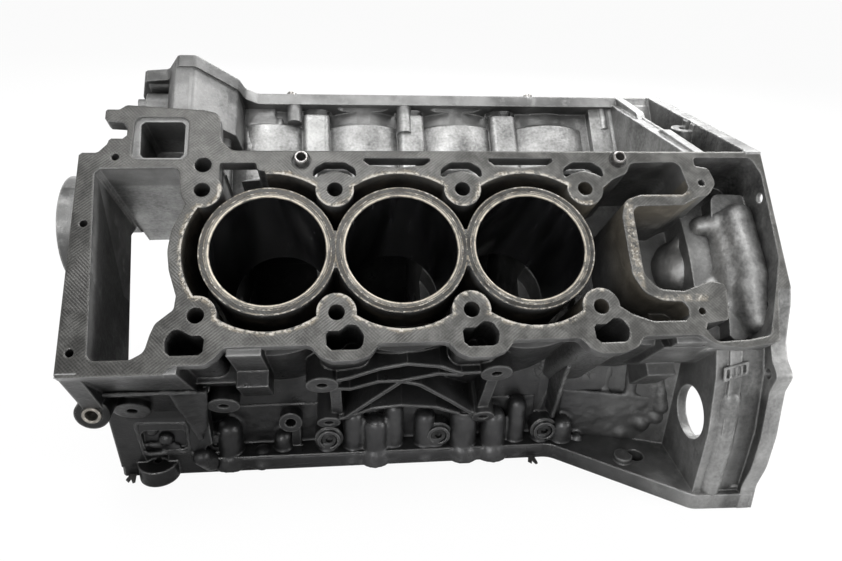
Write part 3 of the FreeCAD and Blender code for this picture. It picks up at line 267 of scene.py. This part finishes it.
def cast_alloy(sizes, colours):
    """Aged sand cast aluminium with machined decks."""
    r = Recipe("cast_alloy")
    p = block_places(r)
    place = p["position"]
    soft = r.soft_edges(sizes.soft_edge, 3)
    same = r.vector("DOT_PRODUCT", soft, p["facing"], "Value")
    edge = same.ease(0.995, 0.82)
    shade = r.node("ShaderNodeAmbientOcclusion", {"samples": 3}, {"Distance": 0.045}, "AO")

    cloud = r.noise(place, 16.0, 3.0, 0.6)
    blotch = r.noise(place, 70.0, 4.0, 0.65)
    fine = r.noise(place, 850.0, 2.0, 0.6)
    speck = r.noise(place, 380.0, 2.0, 0.5)
    run = r.noise(r.vector("MULTIPLY", place, (45.0, 45.0, 7.0)), 1.0, 3.0, 0.6)

    # the machined face of each deck
    bore = bore_distance(p)
    bolt = bolt_distance(p)
    on_deck = abs(p["depth"]).below(0.0012) * p["up"].above(0.97)
    beside_bores = p["along"].ease(-0.066, -0.062) * p["along"].ease(0.262, 0.256)
    solid = (bore - JACKET).most(BOLT_BOSS - bolt)
    wander = (blotch - 0.5) * 0.007
    crust = (solid + wander).ease(sizes.crust, 0.0) * solid.above(-0.0005) * beside_bores
    rim_out = abs(bore - BARREL_OUT + wander * 0.12).ease(0.0008, 0.0002)
    rim_in = abs(bore - BARREL_IN + wander * 0.14).ease(0.0007, 0.0002)
    gasket = passage_edge(p, wander)
    patch = r.noise(place, 210.0, 3.0, 0.75)
    crust = (crust + rim_out * 0.9 + rim_in * 0.6 + gasket).least(1.0) * patch.ease(0.38, 0.58)
    lip = abs(solid - 0.0007 + wander * 0.15).ease(0.0011, 0.0003) * patch.ease(0.42, 0.54) * beside_bores
    flake = ((speck - 0.54).ease(0.0, 0.08) * crust).most(lip * 0.62)
    turn = 2.0 * math.pi / sizes.milling
    lines_a = (p["along"] * 0.62 + p["across"] * 0.78 + cloud * 0.0008) * turn
    lines_b = (p["along"] * 0.72 - p["across"] * 0.69 + cloud * 0.0008) * turn
    worn = r.noise(place, 30.0, 2.0, 0.6)
    hatch = lines_a.maths("SINE") * worn.ease(0.35, 0.65) + lines_b.maths("SINE") * worn.ease(0.60, 0.40) * 0.8
    lit = p["x"].ease(-0.14, 0.40)
    dull, plain, pale = r.shades(colours.deck, 0.70, 1.22, 3.2)
    deck = r.mix(blotch.ease(0.36, 0.66), dull, plain)
    deck = r.dim(deck, 0.52 + lit * 0.82 + hatch * 0.17 + (fine - 0.5) * 0.50 + (cloud - 0.5) * 0.5)
    deck = r.dim(deck, 1.0 - (bore - 0.0498).ease(0.0006, 0.0) * beside_bores * 0.45)
    stain = (bore - 0.052).ease(0.016, 0.0) * blotch.ease(0.55, 0.40) * beside_bores
    deck = r.mix(stain * 0.55, deck, (0.035, 0.032, 0.028))
    deck = r.mix(crust * 0.62, deck, r.dim(tuple(colours.crust), 0.30 + fine * 0.8))
    deck = r.mix(flake, deck, (0.47, 0.45, 0.41))
    # lighter deck edges: partly wear and partly a painted highlight
    deck = r.mix(edge * 0.38, deck, pale)

    # the cast skin: cleaner and lighter in the valley and on the bell housing, with painted light and shade in the
    # valley; black lower down, partly an oil film and partly painted shade
    dull, plain, pale, patchy = r.shades(colours.skin, 0.55, 1.45, 2.1, 1.6)
    skin = r.mix(cloud.ease(0.35, 0.68), dull, plain)
    skin = r.mix(blotch.ease(0.5, 0.75) * 0.6, skin, pale)
    pillar = abs(bolt_turn(p)).ease(0.165, 0.150)
    # painted shade: the wall just under the far deck's flange and the sides of the pillars are left darker
    clear_of_flange_shade = p["depth"].ease(0.027, 0.032).most(pillar * p["depth"].ease(0.019, 0.024))
    valley = p["across"].ease(-0.055, -0.070) * p["z"].above(0.09) * clear_of_flange_shade
    valley = valley * (1.0 - pillar.ease(0.0, 0.5) * pillar.ease(1.0, 0.5) * 0.5)
    bell = p["x"].ease(0.325, 0.352) * (1.0 - on_deck)
    tower = p["x"].below(-0.040) * p["y"].above(0.0)
    # the valley's lighter casting is partly clean casting and partly painted light
    clean_and_lit = (valley * (0.88 - tower * 0.50)).most(bell * (0.12 + run * 0.75))
    mottle = (cloud - 0.5) * 1.2 + blotch * 0.6 + (speck - 0.5) * 1.1 + (run - 0.5) * 1.2
    # painted light: the pillars are lighter
    speckled = r.dim(tuple(colours.bright), 0.43 + pillar * 0.16 + mottle)
    skin = r.mix(clean_and_lit.least(1.0) * 0.92, skin, speckled)
    # painted shade in the groove of the bell housing
    groove = p["x"].ease(0.366, 0.374) * p["x"].ease(0.3865, 0.3845) * p["z"].ease(0.056, 0.044)
    skin = r.dim(skin, 1.0 - groove * p["wide"].above(0.185) * 0.55)
    # painted shade: the lower side is darkened towards black, partly as an oil film that is also glossier
    low = p["z"].ease(0.150, 0.05) * (1.0 - p["x"].ease(0.24, 0.37))
    low_oil_and_shade = low * (p["wide"] + cloud * 0.03).above(0.112)
    skin = r.mix((low_oil_and_shade * (0.70 + blotch * 0.5)).least(1.0), skin, tuple(colours.oil))
    shaded = p["depth"].ease(0.006, 0.030) * (p["wide"] - p["z"]).above(0.012) * p["x"].ease(0.09, -0.03)
    under = p["depth"].ease(0.006, 0.016) * p["depth"].ease(0.095, 0.070) * p["wide"].above(0.112)
    shaded = shaded.most(under * p["x"].ease(0.24, 0.16) * 0.9)
    skin = r.dim(skin, 1.0 - shaded * (0.58 + cloud.ease(0.4, 0.6) * 0.16))
    # lighter cast edges: partly wear and partly a painted highlight
    rubbed_and_highlit_edge = edge * (0.25 + speck * 0.9) * (1.0 - low_oil_and_shade * 0.45)
    skin = r.mix(rubbed_and_highlit_edge.least(1.0), skin, r.shades(colours.bright, 1.45)[0])

    # inside the water jacket: painted shade, near black deeper down, with tan deposit and lime crust nearer the deck
    deep_jacket_shade = p["depth"].ease(0.0015, 0.016) * (0.0625 - bore).above(0.0) * (bore - 0.0435).above(0.0)
    deep_jacket_shade = deep_jacket_shade * beside_bores * p["depth"].below(0.107)
    skin = r.mix(deep_jacket_shade * 0.90, skin, r.mix(blotch.ease(0.4, 0.65), (0.014, 0.012, 0.010), (0.050, 0.038, 0.026)))
    tan = p["depth"].ease(0.060, 0.012) * p["depth"].above(0.0013) * abs(p["across"]).below(0.056)
    ends = (p["along"].ease(0.225, 0.235) * p["along"].ease(0.342, 0.336)).most(p["along"].ease(-0.048, -0.053))
    tan = tan * (0.25 + p["along"].above(0.1) * 0.75) * ends
    skin = r.mix(tan * 0.65 * p["along"].above(-0.085), skin, r.dim((0.30, 0.265, 0.205), 0.35 + blotch))
    lime = p["depth"].ease(0.016, 0.001) * p["depth"].above(0.0005) * abs(bore - 0.0618).below(0.002) * beside_bores
    skin = r.mix(lime * patch.ease(0.35, 0.65) * 0.6, skin, r.shades(colours.crust, 0.55)[0])

    # painted light on the walls of the chain well, and painted shade on part of the tower beyond it
    well = p["along"].ease(-0.060, -0.070) * p["depth"].ease(0.0015, 0.004) * abs(p["across"]).below(0.076)
    skin = r.dim(skin, 1.0 + well * 0.5 - tower * p["across"].below(-0.064) * 0.32)

    # crazed patch on the side under the deck
    cells = r.node("ShaderNodeTexVoronoi", {"feature": "DISTANCE_TO_EDGE"}, {"Vector": place, "Scale": 210.0})
    cracks = cells.ease(0.07, 0.0)
    crazed = p["x"].ease(0.215, 0.230) * p["x"].ease(0.285, 0.268) * p["z"].ease(0.010, 0.020) * p["wide"].above(0.10)
    crazed = crazed * p["z"].ease(0.10, 0.085)
    skin = r.mix(crazed * 0.35, skin, patchy)
    skin = r.mix(cracks * crazed * 0.85, skin, (0.008, 0.008, 0.008))

    # painted shadow: the wall under the ledge on the side of the chain case is painted black
    painted_ledge_shadow = p["x"].ease(-0.126, -0.122) * p["x"].ease(-0.060, -0.064) * p["z"].ease(0.004, 0.008)
    painted_ledge_shadow = painted_ledge_shadow * p["z"].ease(0.053, 0.050) * p["wide"].above(0.140)
    skin = r.mix(painted_ledge_shadow * 0.92, skin, (0.004, 0.004, 0.004))
    # painted shade: the skin is darker in corners and crevices, from ambient occlusion
    crevice_shade = shade.ease(0.10, 0.85)
    skin = r.dim(skin, 0.36 + crevice_shade * 0.64)
    colour = r.mix(on_deck, skin, deck)
    rough = 0.50 - clean_and_lit * 0.10 - low_oil_and_shade * 0.14 + (blotch - 0.5) * 0.45 + (speck - 0.5) * 0.2
    rough = rough * (1.0 - on_deck) + on_deck * (0.36 + (blotch - 0.5) * 0.35 + crust * 0.30)
    metal = 0.62 + on_deck * 0.22 - crust * on_deck * 0.55 + clean_and_lit * 0.15 - deep_jacket_shade * 0.4

    height = fine * 0.5 + blotch * 1.2 + speck * 0.5
    height = height * (1.0 - on_deck * 0.85) + on_deck * (hatch * 0.12 + crust * 1.0) - cracks * crazed * 0.8
    return r.finish(colour, rough, metal, r.bump(0.8, sizes.grain, height, soft))


def bore_iron():
    """Honed iron liner: near black inside, partly an oil film and partly painted shade, with painted glints along the
    bore; a bare rim with deposit on top.
    """
    r = Recipe("bore_iron")
    p = block_places(r)
    place = p["position"]
    soft = r.soft_edges(0.0006, 2)
    blotch = r.noise(place, 120.0, 4.0, 0.65)
    fine = r.noise(place, 900.0, 3.0, 0.6)
    rim = p["depth"].below(0.0015)
    # lighter streaks along the bore: painted glints, which also vary the roughness
    streak = r.noise(r.vector("MULTIPLY", place, (160.0, 12.0, 12.0)), 1.0, 3.0, 0.6)
    wall = r.mix(streak.ease(0.4, 0.72), (0.012, 0.012, 0.013), (0.045, 0.045, 0.048))
    bore = bore_distance(p)
    ring = abs(bore - LINER + (blotch - 0.5) * 0.0012).ease(0.0008, 0.0002)
    ring = (ring + abs(bore - LINER_OUT + (blotch - 0.5) * 0.0014).ease(0.0007, 0.0002)).least(1.0)
    top = r.mix(blotch.ease(0.40, 0.66), (0.085, 0.082, 0.076), (0.19, 0.175, 0.15))
    top = r.mix(ring * blotch.ease(0.30, 0.50), top, (0.46, 0.42, 0.35))
    top = r.dim(top, 0.55 + fine * 0.9)
    colour = r.mix(rim, wall, top)
    rough = 0.24 + rim * 0.3 + (streak - 0.5) * 0.2
    return r.finish(colour, rough, 0.75, r.bump(0.4, 0.0002, fine + streak, soft))


def plain_metal(name, low, high, rough, metal, grain):
    """Turned or cast iron and steel pieces: mottled, with lighter edges that are partly wear and partly painted
    highlight.
    """
    r = Recipe(name)
    place = r.node("ShaderNodeNewGeometry", None, None, "Position")
    facing = r.node("ShaderNodeNewGeometry", None, None, "Normal")
    soft = r.soft_edges(0.0008, 2)
    edge = r.vector("DOT_PRODUCT", soft, facing, "Value").ease(0.995, 0.85)
    blotch = r.noise(place, 140.0, 4.0, 0.6)
    fine = r.noise(place, 1100.0, 3.0, 0.6)
    colour = r.mix(blotch.ease(0.35, 0.7), low, high)
    colour = r.dim(r.mix(edge * 0.6, colour, tuple(min(1.0, c * 2.0) for c in high)), 0.75 + fine * 0.5)
    return r.finish(colour, rough + (blotch - 0.5) * 0.25, metal, r.bump(0.6, grain, fine + blotch, soft))


def gasket_black():
    """Torn scraps of black gasket."""
    r = Recipe("gasket_black")
    place = r.node("ShaderNodeNewGeometry", None, None, "Position")
    fine = r.noise(place, 700.0, 4.0, 0.6)
    colour = r.mix(fine.ease(0.35, 0.7), (0.012, 0.012, 0.012), (0.05, 0.048, 0.045))
    return r.finish(colour, 0.7 + (fine - 0.5) * 0.3, 0.0, r.bump(0.7, 0.0003, fine))


def paint(node, material):
    """Give a carried over piece its finish."""
    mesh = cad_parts[node].data
    for i in range(max(1, len(mesh.materials))):
        if len(mesh.materials) <= i:
            mesh.materials.append(material)
        else:
            mesh.materials[i] = material


# Cast relief: overlapping bars and balls that are melted into one skin, as a foundry pattern is.


def ball(bm, x, y, z, r):
    """A ball round a point."""
    made = bmesh.ops.create_icosphere(bm, subdivisions=3, radius=r / 1000)
    bmesh.ops.translate(bm, verts=made["verts"], vec=at_crank(x / 1000, y / 1000, z / 1000))


def bar(bm, a, b, r_a, r_b, rounded=True):
    """A tapered bar between two points, with or without round ends."""
    start, end = (at_crank(*(c / 1000 for c in point)) for point in (a, b))
    turn = (end - start).to_track_quat("Z", "Y").to_matrix().to_4x4()
    bmesh.ops.create_cone(bm, cap_ends=True, segments=28, radius1=r_a / 1000, radius2=r_b / 1000,
                          depth=(end - start).length, matrix=Matrix.Translation((start + end) / 2) @ turn)
    if rounded:
        ball(bm, *a, r_a)
        ball(bm, *b, r_b)


def plate(bm, corners, thick):
    """A flat web through the corners, with half its thickness on either side."""
    points = [at_crank(*(c / 1000 for c in corner)) for corner in corners]
    square = (points[1] - points[0]).cross(points[2] - points[0]).normalized() * (thick / 2000)
    low = [bm.verts.new(point - square) for point in points]
    high = [bm.verts.new(point + square) for point in points]
    bm.faces.new(reversed(low))
    bm.faces.new(high)
    for i in range(len(points)):
        j = (i + 1) % len(points)
        bm.faces.new((low[i], low[j], high[j], high[i]))


def melted(name, build, grid=0.0014, passes=6):
    """One closed skin round everything that build puts together, with its inner corners filled."""
    bm = bmesh.new()
    build(bm)
    bmesh.ops.recalc_face_normals(bm, faces=bm.faces[:])
    mesh = bpy.data.meshes.new(name)
    bm.to_mesh(mesh)
    bm.free()
    made = bpy.data.objects.new(name, mesh)
    bpy.context.scene.collection.objects.link(made)
    remesh = made.modifiers.new("skin", "REMESH")
    remesh.mode = "VOXEL"
    remesh.voxel_size = grid
    remesh.use_smooth_shade = True
    smooth = made.modifiers.new("melt", "SMOOTH")
    smooth.factor = 0.6
    smooth.iterations = passes
    clouds = bpy.data.textures.new(name, "CLOUDS")
    clouds.noise_scale = 0.013
    uneven = made.modifiers.new("uneven", "DISPLACE")
    uneven.texture = clouds
    uneven.texture_coords = "GLOBAL"
    uneven.strength = grid * UNEVEN
    graph = bpy.context.evaluated_depsgraph_get()
    made.data = bpy.data.meshes.new_from_object(made.evaluated_get(graph))
    made.modifiers.clear()
    if len(made.data.polygons) < 100:
        raise RuntimeError("%s came out empty" % name)
    bpy.data.meshes.remove(mesh)
    made.data.materials.clear()
    made.data.materials.append(bpy.data.materials["cast_alloy"])
    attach(made, "root")


# Place along the crank, distance out, radius and top of each sump bolt column on the near side.
FLANK = ((61, 131, 9.8, -5), (80, 134, 11.4, -11), (97, 130, 9.0, 0), (125, 130, 10.0, -10), (160, 132, 12.8, -3),
         (187, 134, 11.4, -8), (209, 130, 9.0, 0), (252, 134, 9.8, -21), (-48, 131, 12.0, -12), (-20, 133, 8.2, -41),
         (-2, 130, 8.2, -27), (268, 136, 5.5, -40))


def near_flank(bm):
    """Columns of the sump bolts, the foot of the side wall, a web and the lumps by the starter hole."""
    for x, out, r, top in FLANK:
        bar(bm, (x, -out, FOOT + r), (x, -out, top - r), r, r * 0.97)
        bar(bm, (x, -out - 1.5, FOOT), (x, -out - 1.5, -46), r + 5.0, r + 0.5, False)
        bar(bm, (x, -out + 8, FOOT + r * 0.8), (x, -out + 8, top - r - 4), r * 0.8, r * 0.6)
    plate(bm, ((-50, -121.5, -50), (-50, -121.5, -4), (228, -121.5, -4), (228, -121.5, -50)), 3.4)
    plate(bm, ((-50, -132, -57), (236, -132, -57), (236, -132, -46), (-50, -132, -46)), 23)
    for x in (39, 137, 235):
        bar(bm, (x - 3, -133, -57), (x - 2, -130, -38), 8.0, 9.5, False)
        bar(bm, (x + 1, -139, -56), (x + 1, -137, -46), 2.6, 3.0)
    plate(bm, ((238, -167, 56), (240, -139, -18), (240, -120, -18), (240, -120, 10), (238, -150, 46)), 4.4)
    bar(bm, (238, -166, 55), (240, -139, -17), 2.6, 2.2)
    # lumps beside the starter hole
    bar(bm, (311, -132, 30), (315, -133, -20), 7, 7)
    bar(bm, (333, -141, 32), (339, -143, -6), 5, 8)
    bar(bm, (292, -125, 28), (289, -123, -10), 6, 8)
    for x, out, z, r in ((337, 141, -18, 9), (326, 137, -27, 10), (291, 123, -16, 12), (300, 125, -34, 13),
                         (282, 121, -37, 11), (310, 130, -40, 12), (272, 120, -20, 9), (322, 137, -6, 7)):
        ball(bm, x, -out, z, r)
    plate(bm, ((250, -124.5, -46), (250, -124.5, 4), (330, -142.5, 4), (330, -142.5, -46)), 3.6)


def case_flank(bm):
    """Rim, web and lumps on the side of the chain case."""
    bar(bm, (-126, -187, 57), (-60, -182, 53), 2.2, 2.2)
    plate(bm, ((-78, -178, 50), (-52, -172, 48), (-61, -150, -4), (-68, -148, -16)), 6.0)
    bar(bm, (-78, -178, 50), (-68, -150, -16), 3.0, 3.2)
    for a, b in (((-119, -149, 2), (-78, -149, 0)), ((-78, -149, 0), (-80, -144.5, -35)),
                 ((-80, -144.5, -35), (-118, -144, -36)), ((-118, -144, -36), (-119, -149, 2))):
        bar(bm, a, b, 2.4, 2.4)
    ball(bm, -108, -144, -10, 5.5)
    ball(bm, -98, -142, -21, 7.0)
    bar(bm, (-112, -143, -26), (-90, -142, -30), 3.0, 4.0)
    bar(bm, (-70, -146, -40), (-64, -140, -50), 8, 9)


def cavity_lobes(bm):
    """Lobes inside the rear box."""
    ball(bm, 358, -109, 155, 9.0)
    bar(bm, (338, -98, 118), (356, -104, 148), 9, 9)
    ball(bm, 354, -102, 108, 30)
    bar(bm, (379, -114, 156), (378, -150, 116), 16, 18)
    bar(bm, (383, -118, 166), (384, -158, 132), 13, 12)
    bar(bm, (384, -158, 132), (380, -186, 106), 12, 11)
    plate(bm, ((379, -114, 159), (383, -118, 169), (384, -158, 135), (378, -150, 119)), 25)
    plate(bm, ((378, -150, 119), (384, -158, 135), (380, -186, 109), (374, -168, 99)), 24)
    ball(bm, 370, -112, 158, 12)
    ball(bm, 374, -160, 100, 19)
    ball(bm, 352, -146, 88, 20)
    ball(bm, 362, -140, 112, 14)
    ball(bm, 380, -176, 92, 14)


def valley_wall(bm):
    """Web that closes the corner between the tower and the first dome of the far bank."""
    plate(bm, ((-52, 107.5, 205), (-12, 107.5, 205), (-12, 68, 166), (-52, 68, 166)), 5.0)
    bar(bm, (-44, 104, 196), (-38, 72, 170), 5.0, 6.0)
    bar(bm, (-8, 94, 193), (-8, 72, 171), 4.0, 5.0)


def bell_band(bm):
    """Roll beside the groove of the bell housing."""
    path = ((360.5, -203, 46), (360.5, -208, 10), (360.5, -207.7, -27), (360.5, -208, -45))
    for a, b in zip(path, path[1:]):
        bar(bm, a, b, 10.0, 10.0)


def bell_frame(bm):
    """Small ribbed frame high on the housing."""
    corners = ((351, -203.8, 73), (369, -202.8, 78), (369, -205.6, 69.5), (351, -207, 64))
    for a, b in zip(corners, corners[1:] + corners[:1]):
        bar(bm, a, b, 1.3, 1.3)
    for share in (0.25, 0.5, 0.75):
        top = [a + (b - a) * share for a, b in zip(corners[0], corners[1])]
        foot = [a + (b - a) * share for a, b in zip(corners[3], corners[2])]
        bar(bm, top, foot, 1.2, 1.2)


class BLOCK_OT_casting(bpy.types.Operator):
    """Finish the casting"""
    bl_idname = "block.casting"
    bl_label = "Casting"

    def execute(self, context):
        paint("cylinder_block", cast_alloy(context.scene.block_sizes, context.scene.block_colours))
        return {"FINISHED"}


class BLOCK_OT_liners(bpy.types.Operator):
    """Finish the six bore liners"""
    bl_idname = "block.liners"
    bl_label = "Bore liners"

    def execute(self, context):
        iron = bore_iron()
        for bank in ("near", "far"):
            for k in (1, 2, 3):
                paint("%s_liner_%d" % (bank, k), iron)
        return {"FINISHED"}


class BLOCK_OT_fixings(bpy.types.Operator):
    """Finish the caps, bolts, dowels, bushes and gasket tabs"""
    bl_idname = "block.fixings"
    bl_label = "Caps, bolts, dowels, bushes and tabs"

    def execute(self, context):
        cap = plain_metal("cap_iron", (0.035, 0.034, 0.033), (0.09, 0.085, 0.08), 0.55, 0.5, 0.0004)
        oiled = plain_metal("oiled_steel", (0.012, 0.012, 0.012), (0.05, 0.05, 0.05), 0.35, 0.7, 0.0002)
        steel = plain_metal("bolt_steel", (0.05, 0.05, 0.05), (0.16, 0.155, 0.15), 0.38, 0.85, 0.0002)
        dowel = plain_metal("dowel_steel", (0.22, 0.21, 0.20), (0.42, 0.41, 0.40), 0.3, 0.9, 0.0001)
        bush = plain_metal("bush_steel", (0.10, 0.095, 0.085), (0.30, 0.28, 0.25), 0.35, 0.85, 0.0002)
        black = gasket_black()
        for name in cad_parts:
            if name.startswith("main_cap"):
                paint(name, cap)
            elif "cross_bolts" in name:
                paint(name, oiled)
            elif "bolts" in name:
                paint(name, steel)
            elif "dowel" in name:
                paint(name, dowel)
            elif "bush" in name:
                paint(name, bush)
            elif "gasket" in name:
                paint(name, black)
        return {"FINISHED"}


def white_rays(r, share=1.0):
    """1 for the camera's rays, and share for those that metal or glass sends on: they meet a white surround."""
    seen = r.node("ShaderNodeLightPath", None, None, "Is Camera Ray")
    for kind in ("Is Glossy Ray", "Is Transmission Ray"):
        seen = seen.most(r.node("ShaderNodeLightPath", None, None, kind) * share)
    return seen


def lamp(name, place, aim, size, power):
    """An oblong lamp that points at a place."""
    data = bpy.data.lights.new(name, "AREA")
    data.shape = "RECTANGLE"
    data.size = size[0]
    data.size_y = size[1]
    data.energy = power
    made = bpy.data.objects.new(name, data)
    made.location = place
    made.rotation_euler = (Vector(aim) - Vector(place)).to_track_quat("-Z", "Y").to_euler()
    bpy.context.scene.collection.objects.link(made)


class BLOCK_OT_flank(bpy.types.Operator):
    """Add the rounded cast forms of the near side"""
    bl_idname = "block.flank"
    bl_label = "Cast forms of the side"

    def execute(self, context):
        melted("near_flank_relief", near_flank)
        melted("case_flank_relief", case_flank)
        return {"FINISHED"}


class BLOCK_OT_cavity(bpy.types.Operator):
    """Add the rounded lobes inside the rear box"""
    bl_idname = "block.cavity"
    bl_label = "Lobes of the rear box"

    def execute(self, context):
        melted("rear_box_relief", cavity_lobes, 0.0015, 20)
        return {"FINISHED"}


class BLOCK_OT_housing(bpy.types.Operator):
    """Add the rounded band of the bell housing and the web of the valley"""
    bl_idname = "block.housing"
    bl_label = "Cast forms of the housing and valley"

    def execute(self, context):
        melted("bell_band_relief", bell_band, 0.0016, 10)
        melted("bell_frame_relief", bell_frame, 0.0006, 2)
        melted("valley_wall_relief", valley_wall, 0.0016, 6)
        return {"FINISHED"}


class BLOCK_OT_stage(bpy.types.Operator):
    """Add the floor, the light, the white surround and the camera"""
    bl_idname = "block.stage"
    bl_label = "Floor, light and camera"

    def execute(self, context):
        scene = context.scene
        r = Recipe("pale_floor")
        place = r.node("ShaderNodeNewGeometry", None, None, "Position")
        tone = r.noise(place, 3.0)
        matte = r.node("ShaderNodeBsdfPrincipled", None,
                       {"Base Color": r.mix(tone, (0.86, 0.86, 0.86), (0.90, 0.90, 0.90)), "Roughness": 0.9})
        glow = r.node("ShaderNodeEmission", None, {"Color": (1.0, 1.0, 1.0, 1.0), "Strength": 1.0})
        # in the bores and the crankcase, metal shows the shaded floor that is under the block
        x, y = r.split(place)[:2]
        clear = (abs(x) - 0.27).most(abs(y) - 0.20).ease(0.0, 0.06)
        both = r.node("ShaderNodeMixShader", None, {0: white_rays(r, clear) * 0.92, 1: matte, 2: glow})
        r.node("ShaderNodeOutputMaterial", None, {"Surface": both})
        bm = bmesh.new()
        bmesh.ops.create_grid(bm, x_segments=4, y_segments=4, size=6.0)
        mesh = bpy.data.meshes.new("floor")
        bm.to_mesh(mesh)
        bm.free()
        mesh.materials.append(r.data)
        floor = bpy.data.objects.new("floor", mesh)
        floor.location = (0.0, 0.0, -0.0005)
        scene.collection.objects.link(floor)

        studio = Recipe("studio", "worlds")
        soft = studio.node("ShaderNodeBackground", None, {"Color": (1.0, 1.0, 1.0, 1.0), "Strength": 0.52})
        white = studio.node("ShaderNodeBackground", None, {"Color": (1.0, 1.0, 1.0, 1.0), "Strength": 1.0})
        mixed = studio.node("ShaderNodeMixShader", None, {0: white_rays(studio), 1: soft, 2: white})
        studio.node("ShaderNodeOutputWorld", None, {"Surface": mixed})
        scene.world = studio.data

        lamp("window", (0.8, 0.6, 1.3), (0.05, 0.0, 0.15), (0.7, 0.7), 20.5)
        lamp("ceiling", (-0.3, -0.5, 1.6), (0.0, 0.0, 0.1), (0.8, 0.6), 11.2)
        lamp("rear_wall", (0.2, 1.6, 0.9), (0.0, 0.0, 0.2), (1.4, 0.4), 20.0)
        lamp("right_wall", (1.5, -0.7, 0.5), (0.15, 0.0, 0.12), (0.4, 0.8), 13.0)
        lamp("front_wall", (-0.5, -1.5, 0.8), (0.0, 0.0, 0.12), (0.8, 0.5), 15.0)

        # the camera stands where the photograph was taken from
        data = bpy.data.cameras.new("camera")
        data.lens = 29.93
        data.sensor_width = 36.0
        data.clip_start = 0.02
        camera = bpy.data.objects.new("camera", data)
        right = Vector((0.99392, -0.10522, 0.03254))
        down = Vector((-0.01776, -0.44471, -0.89550))
        back = right.cross(-down).normalized()
        turn = Matrix((right, -down, back)).transposed().to_4x4()
        camera.matrix_world = Matrix.Translation((-0.06696, -0.63665, 0.43143)) @ turn
        scene.collection.objects.link(camera)
        scene.camera = camera
        scene.view_settings.view_transform = "Standard"
        return {"FINISHED"}


class BLOCK_PT_panel(bpy.types.Panel):
    """Lists the pieces of the block"""
    bl_idname = "BLOCK_PT_panel"
    bl_label = "Engine block"
    bl_space_type = "VIEW_3D"
    bl_region_type = "UI"
    bl_category = "Block"

    def draw(self, context):
        layout = self.layout
        for group in (context.scene.block_sizes, context.scene.block_colours):
            box = layout.box()
            for key in group.__annotations__:
                box.prop(group, key)
        for step in STEPS:
            layout.operator(step.bl_idname)


STEPS = (BLOCK_OT_casting, BLOCK_OT_flank, BLOCK_OT_cavity, BLOCK_OT_housing, BLOCK_OT_liners, BLOCK_OT_fixings,
         BLOCK_OT_stage)
CLASSES = (BlockSizes, BlockColours) + STEPS + (BLOCK_PT_panel,)


def register():
    for made in CLASSES:
        bpy.utils.register_class(made)
    bpy.types.Scene.block_sizes = bpy.props.PointerProperty(type=BlockSizes)
    bpy.types.Scene.block_colours = bpy.props.PointerProperty(type=BlockColours)


def unregister():
    del bpy.types.Scene.block_colours
    del bpy.types.Scene.block_sizes
    for made in reversed(CLASSES):
        bpy.utils.unregister_class(made)


def main():
    register()
    bpy.ops.block.stage()
    bpy.ops.block.casting()
    bpy.ops.block.flank()
    bpy.ops.block.cavity()
    bpy.ops.block.housing()
    bpy.ops.block.liners()
    bpy.ops.block.fixings()


if __name__ == "__main__":
    main()
